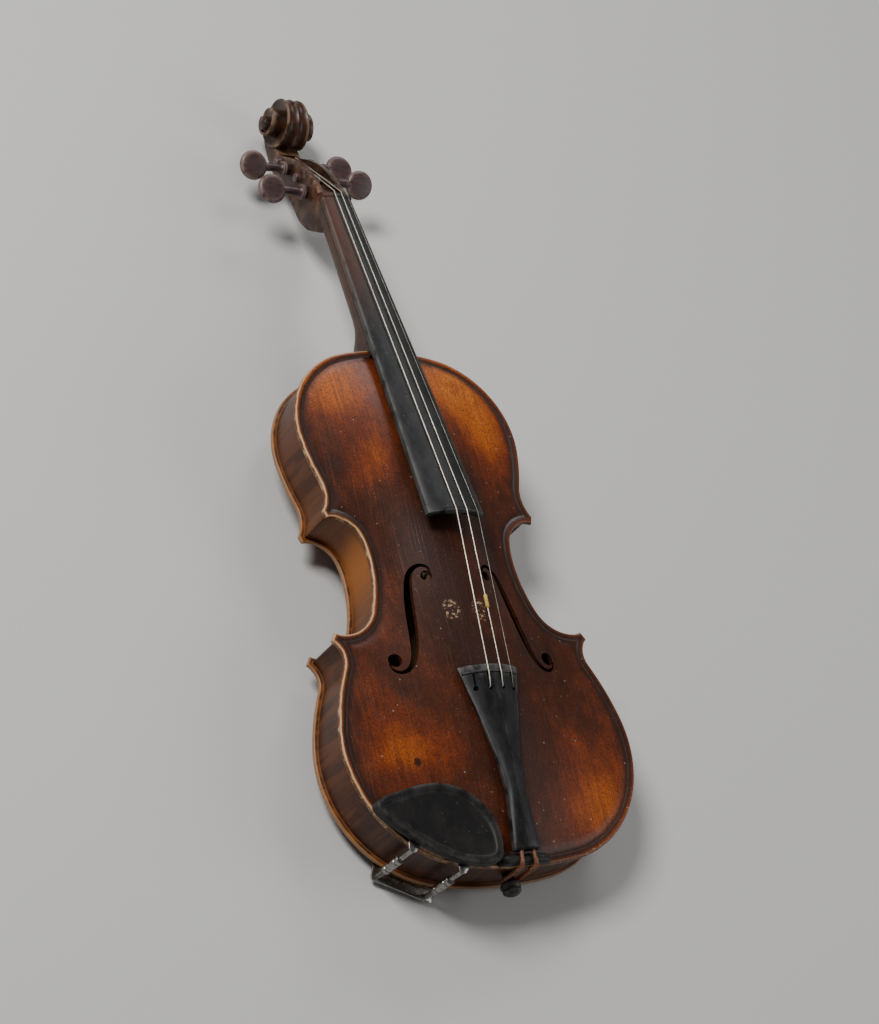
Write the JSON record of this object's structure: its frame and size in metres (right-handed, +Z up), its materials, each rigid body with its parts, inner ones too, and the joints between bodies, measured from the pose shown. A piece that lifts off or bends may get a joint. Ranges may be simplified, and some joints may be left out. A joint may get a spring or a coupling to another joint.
{
  "type": "violin",
  "caption": "Full-size violin lying on its back: arched plates, f-holes, scroll head, turning pegs, tailpiece, clamped chin rest, no bridge.",
  "frame": {"origin": "on the surface the violin lies on, under the middle of its box", "axes": "+Y from the end button to the scroll, +X to the treble side, +Z up out of the top plate"},
  "size_m": [0.2074, 0.6048, 0.087],
  "materials": {
    "spruce_top": "worn red-brown oil varnish over spruce",
    "maple_back": "worn red-brown varnish over flamed maple",
    "maple_ribs": "dark worn varnish over flamed maple",
    "maple_neck": "dark worn varnish over maple",
    "bare_spruce": "unvarnished",
    "purfling": "dark inlay",
    "ebony": "satin, worn",
    "blackened_wood": "worn satin",
    "fret_strip": "worn grey-white",
    "rosewood": "satin purple-brown",
    "gut": "reddish-brown gut",
    "chin_rest_black": "fine-grained black",
    "cork": "matt cork",
    "nickel": "tarnished nickel plate",
    "wound_string": "flat wound",
    "steel_string": "plain steel",
    "yellow_sleeve": "yellow plastic"
  },
  "bodies": {
    "violin": {"neck": "maple_neck", "fingerboard": "ebony", "nut": "ebony", "saddle": "ebony", "purfling_top": "purfling", "purfling_back": "purfling", "top_plate": "spruce_top", "back_plate": "maple_back", "end_button": "rosewood", "rib_lower_treble": "maple_ribs", "rib_centre_treble": "maple_ribs", "rib_upper_treble": "maple_ribs", "rib_lower_bass": "maple_ribs", "rib_centre_bass": "maple_ribs", "rib_upper_bass": "maple_ribs", "corner_block_lower_treble": "bare_spruce", "corner_block_upper_treble": "bare_spruce", "corner_block_lower_bass": "bare_spruce", "corner_block_upper_bass": "bare_spruce", "top_block": "bare_spruce", "bottom_block": "bare_spruce", "linings_top": "bare_spruce", "linings_back": "bare_spruce", "bass_bar": "bare_spruce", "sound_post": "bare_spruce", "tail_gut": "gut", "tailpiece": "blackened_wood", "tailpiece_fret": "fret_strip", "string_d": "wound_string", "string_a": "wound_string", "string_sleeve": "yellow_sleeve", "string_e": "steel_string", "chin_rest": "chin_rest_black", "chin_rest_cork": "cork", "clamp_hook_a": "nickel", "clamp_hook_b": "nickel"},
    "peg_g_turning": {"peg_g": "rosewood"},
    "peg_e_turning": {"peg_e": "rosewood", "winding_e": "steel_string"},
    "peg_d_turning": {"peg_d": "rosewood", "winding_d": "wound_string"},
    "peg_a_turning": {"peg_a": "rosewood", "winding_a": "wound_string"},
    "barrel_a": {"clamp_barrel_a": "nickel"},
    "barrel_b": {"clamp_barrel_b": "nickel"},
    "foot": {"clamp_foot": "nickel", "clamp_cork": "cork"}
  },
  "joints": [
    {"name": "peg_g_turn", "type": "hinge", "parent": "violin", "child": "peg_g_turning", "pos_m": [0, 0.21002, 0.03864], "axis": [-1, 0, 0], "continuous": true},
    {"name": "peg_e_turn", "type": "hinge", "parent": "violin", "child": "peg_e_turning", "pos_m": [0, 0.22677, 0.03363], "axis": [1, 0, 0], "continuous": true},
    {"name": "peg_d_turn", "type": "hinge", "parent": "violin", "child": "peg_d_turning", "pos_m": [0, 0.2412, 0.0248], "axis": [-1, 0, 0], "continuous": true},
    {"name": "peg_a_turn", "type": "hinge", "parent": "violin", "child": "peg_a_turning", "pos_m": [0, 0.25412, 0.01641], "axis": [1, 0, 0], "continuous": true},
    {"name": "barrel_a_turn", "type": "hinge", "parent": "violin", "child": "barrel_a", "pos_m": [-0.0765, -0.27685, 0.01579], "axis": [0, -0.0473, 0.9989], "range_deg": [0, 1028.58]},
    {"name": "barrel_b_turn", "type": "hinge", "parent": "violin", "child": "barrel_b", "pos_m": [-0.0465, -0.29133, 0.0151], "axis": [0, -0.0473, 0.9989], "range_deg": [0, 1028.58]},
    {"name": "foot_slide", "type": "slide", "parent": "violin", "child": "foot", "axis": [0, 0.0473, -0.9989], "range_m": [0, 0.004]}
  ],
  "couplings": [
    {"joint": "barrel_a_turn", "follows": "foot_slide", "rad_per_m": 4488},
    {"joint": "barrel_b_turn", "follows": "foot_slide", "rad_per_m": 4488}
  ]
}
